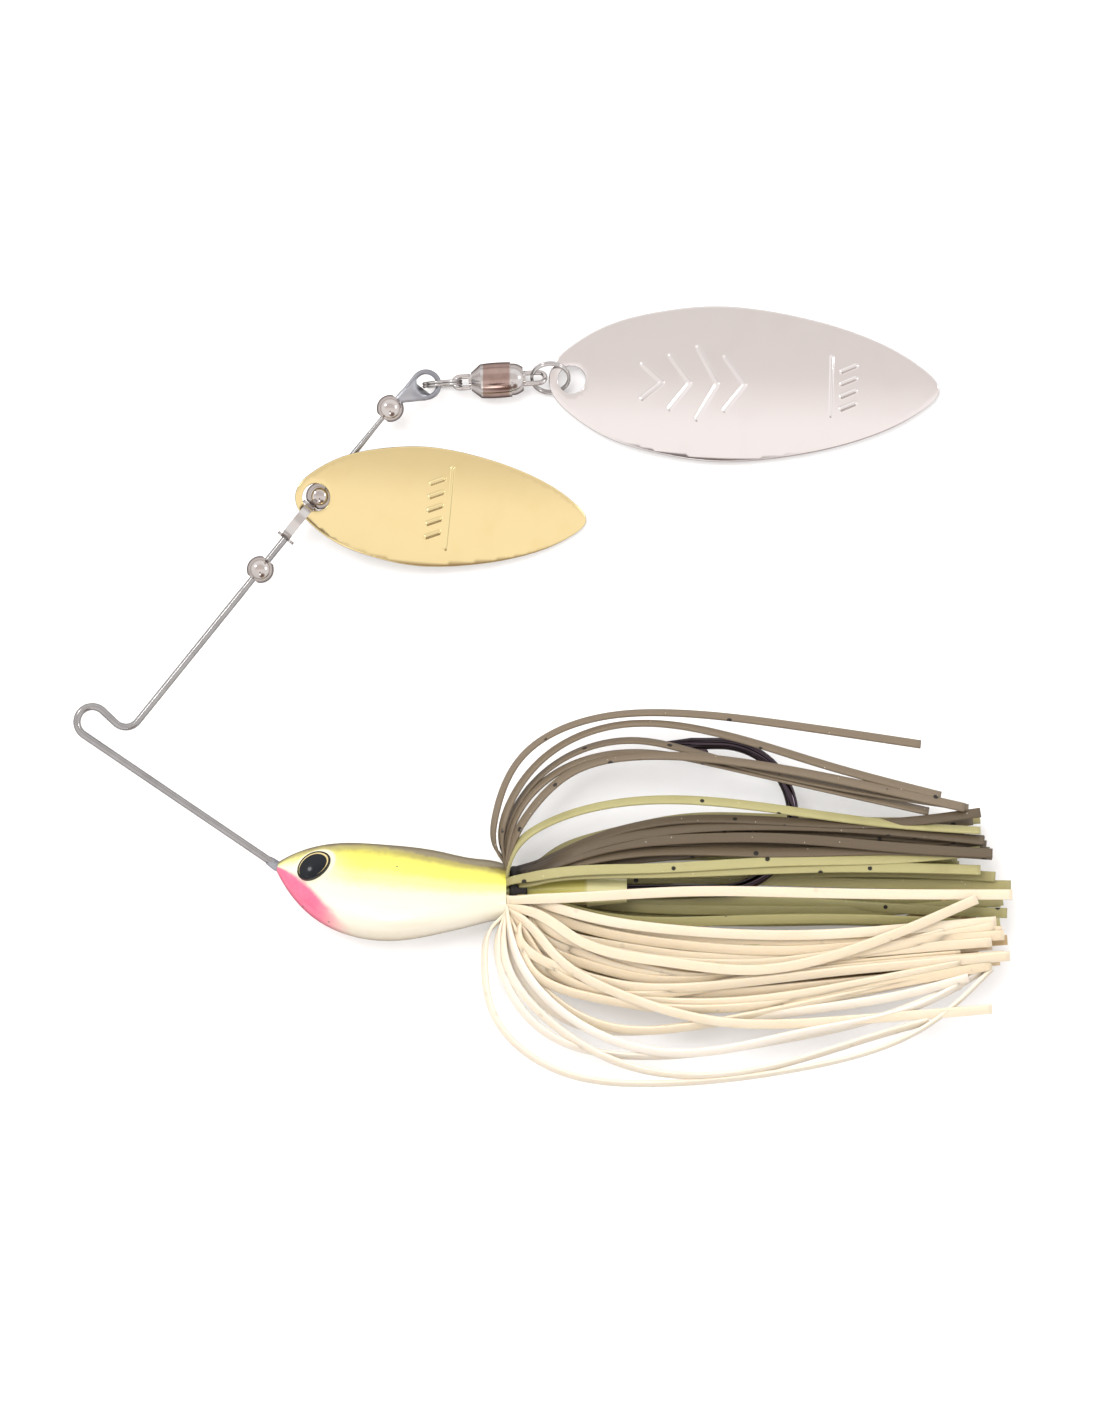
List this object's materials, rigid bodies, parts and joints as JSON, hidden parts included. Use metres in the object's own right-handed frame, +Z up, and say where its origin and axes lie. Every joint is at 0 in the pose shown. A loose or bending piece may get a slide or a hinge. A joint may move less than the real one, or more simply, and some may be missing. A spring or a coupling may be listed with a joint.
{
  "type": "spinnerbait",
  "caption": "Spinnerbait lying on its side: bent wire with gold and silver willow blades, swivel and beads, fish-shaped head, hook and silicone skirt.",
  "frame": {"origin": "under the middle of the lure's box, on the surface it lies on", "axes": "+X from the head to the tails of the skirt, +Y from the hook side to the blades, +Z up from the surface"},
  "size_m": [0.1191, 0.099, 0.0104],
  "materials": {
    "spring_wire": "drawn stainless spring wire",
    "tin_solder": "satin tin solder",
    "nickel_bead": "bright nickel",
    "nickel_clevis": "bright nickel",
    "gold_plate": "polished gold plate",
    "silver_plate": "polished nickel plate",
    "ring_steel": "bright stainless",
    "swivel_nickel": "bright nickel",
    "swivel_ball_steel": "polished",
    "head_paint": "airbrushed gloss lacquer",
    "black_nickel": "black nickel",
    "eye_resin": "clear dome over a dark pupil",
    "band_rubber": "matt",
    "silicone_brown": "flecked silicone",
    "silicone_dark": "flecked silicone",
    "silicone_olive": "flecked translucent silicone",
    "silicone_cream": "translucent silicone"
  },
  "bodies": {
    "lure": {"wire_frame": "spring_wire", "eye_solder": "tin_solder", "head": "head_paint", "hook": "black_nickel", "eye_left": "eye_resin", "eye_right": "eye_resin", "skirt_band": "band_rubber", "skirt_brown": "silicone_brown", "skirt_dark": "silicone_dark", "skirt_olive": "silicone_olive", "skirt_cream": "silicone_cream", "skirt_cream_outer": "silicone_cream", "skirt_underside": "silicone_olive"},
    "stop_bead": {"bead_stop": "nickel_bead"},
    "clevis": {"clevis": "nickel_clevis"},
    "gold_blade": {"gold_blade": "gold_plate"},
    "middle_bead": {"bead_middle": "nickel_bead"},
    "upper_bead": {"bead_upper": "nickel_bead"},
    "front_ring": {"front_ring": "ring_steel"},
    "swivel_eye": {"swivel_front_eye": "swivel_nickel"},
    "swivel_barrel": {"swivel_balls": "swivel_ball_steel", "swivel_barrel": "swivel_nickel", "swivel_cap": "swivel_nickel", "swivel_rear_eye": "swivel_nickel"},
    "rear_ring": {"rear_ring": "ring_steel"},
    "silver_blade": {"silver_blade": "silver_plate"}
  },
  "joints": [
    {"name": "stop_bead_slide", "type": "slide", "parent": "lure", "child": "stop_bead", "axis": [0.628, 0.7782, 0], "range_m": [0, 0.0032]},
    {"name": "clevis_spin", "type": "hinge", "parent": "lure", "child": "clevis", "pos_m": [-0.03096, 0.02191, 0.00426], "axis": [0.628, 0.7782, 0], "continuous": true},
    {"name": "gold_blade_swing", "type": "hinge", "parent": "clevis", "child": "gold_blade", "pos_m": [-0.02987, 0.02326, 0.00621], "axis": [-0.628, -0.7782, 0], "range_deg": [-4, 28]},
    {"name": "middle_bead_spin", "type": "hinge", "parent": "lure", "child": "middle_bead", "pos_m": [-0.02825, 0.02526, 0.00426], "axis": [0.628, 0.7782, 0], "continuous": true},
    {"name": "upper_bead_slide", "type": "slide", "parent": "lure", "child": "upper_bead", "axis": [0.628, 0.7782, 0], "range_m": [-0.0045, 0]},
    {"name": "front_ring_swing", "type": "hinge", "parent": "lure", "child": "front_ring", "pos_m": [-0.01313, 0.03952, 0.00426], "axis": [0.0795, -0.9968, 0], "range_deg": [-15, 120]},
    {"name": "swivel_yaw", "type": "hinge", "parent": "front_ring", "child": "swivel_eye", "pos_m": [-0.01039, 0.03974, 0.00231], "axis": [0, 0, 1], "range_deg": [-18, 60]},
    {"name": "swivel_spin", "type": "hinge", "parent": "swivel_eye", "child": "swivel_barrel", "pos_m": [-0.0057, 0.04003, 0.00231], "axis": [0.9981, 0.061, 0], "continuous": true},
    {"name": "rear_ring_swing", "type": "hinge", "parent": "swivel_barrel", "child": "rear_ring", "pos_m": [0.00038, 0.0404, 0.00231], "axis": [0, 0.6691, -0.7431], "range_deg": [-30, 45]},
    {"name": "silver_blade_swing", "type": "hinge", "parent": "rear_ring", "child": "silver_blade", "pos_m": [0.00337, 0.04, 0.00191], "axis": [0.19, 0.7296, 0.6569], "range_deg": [-20, 40]}
  ]
}
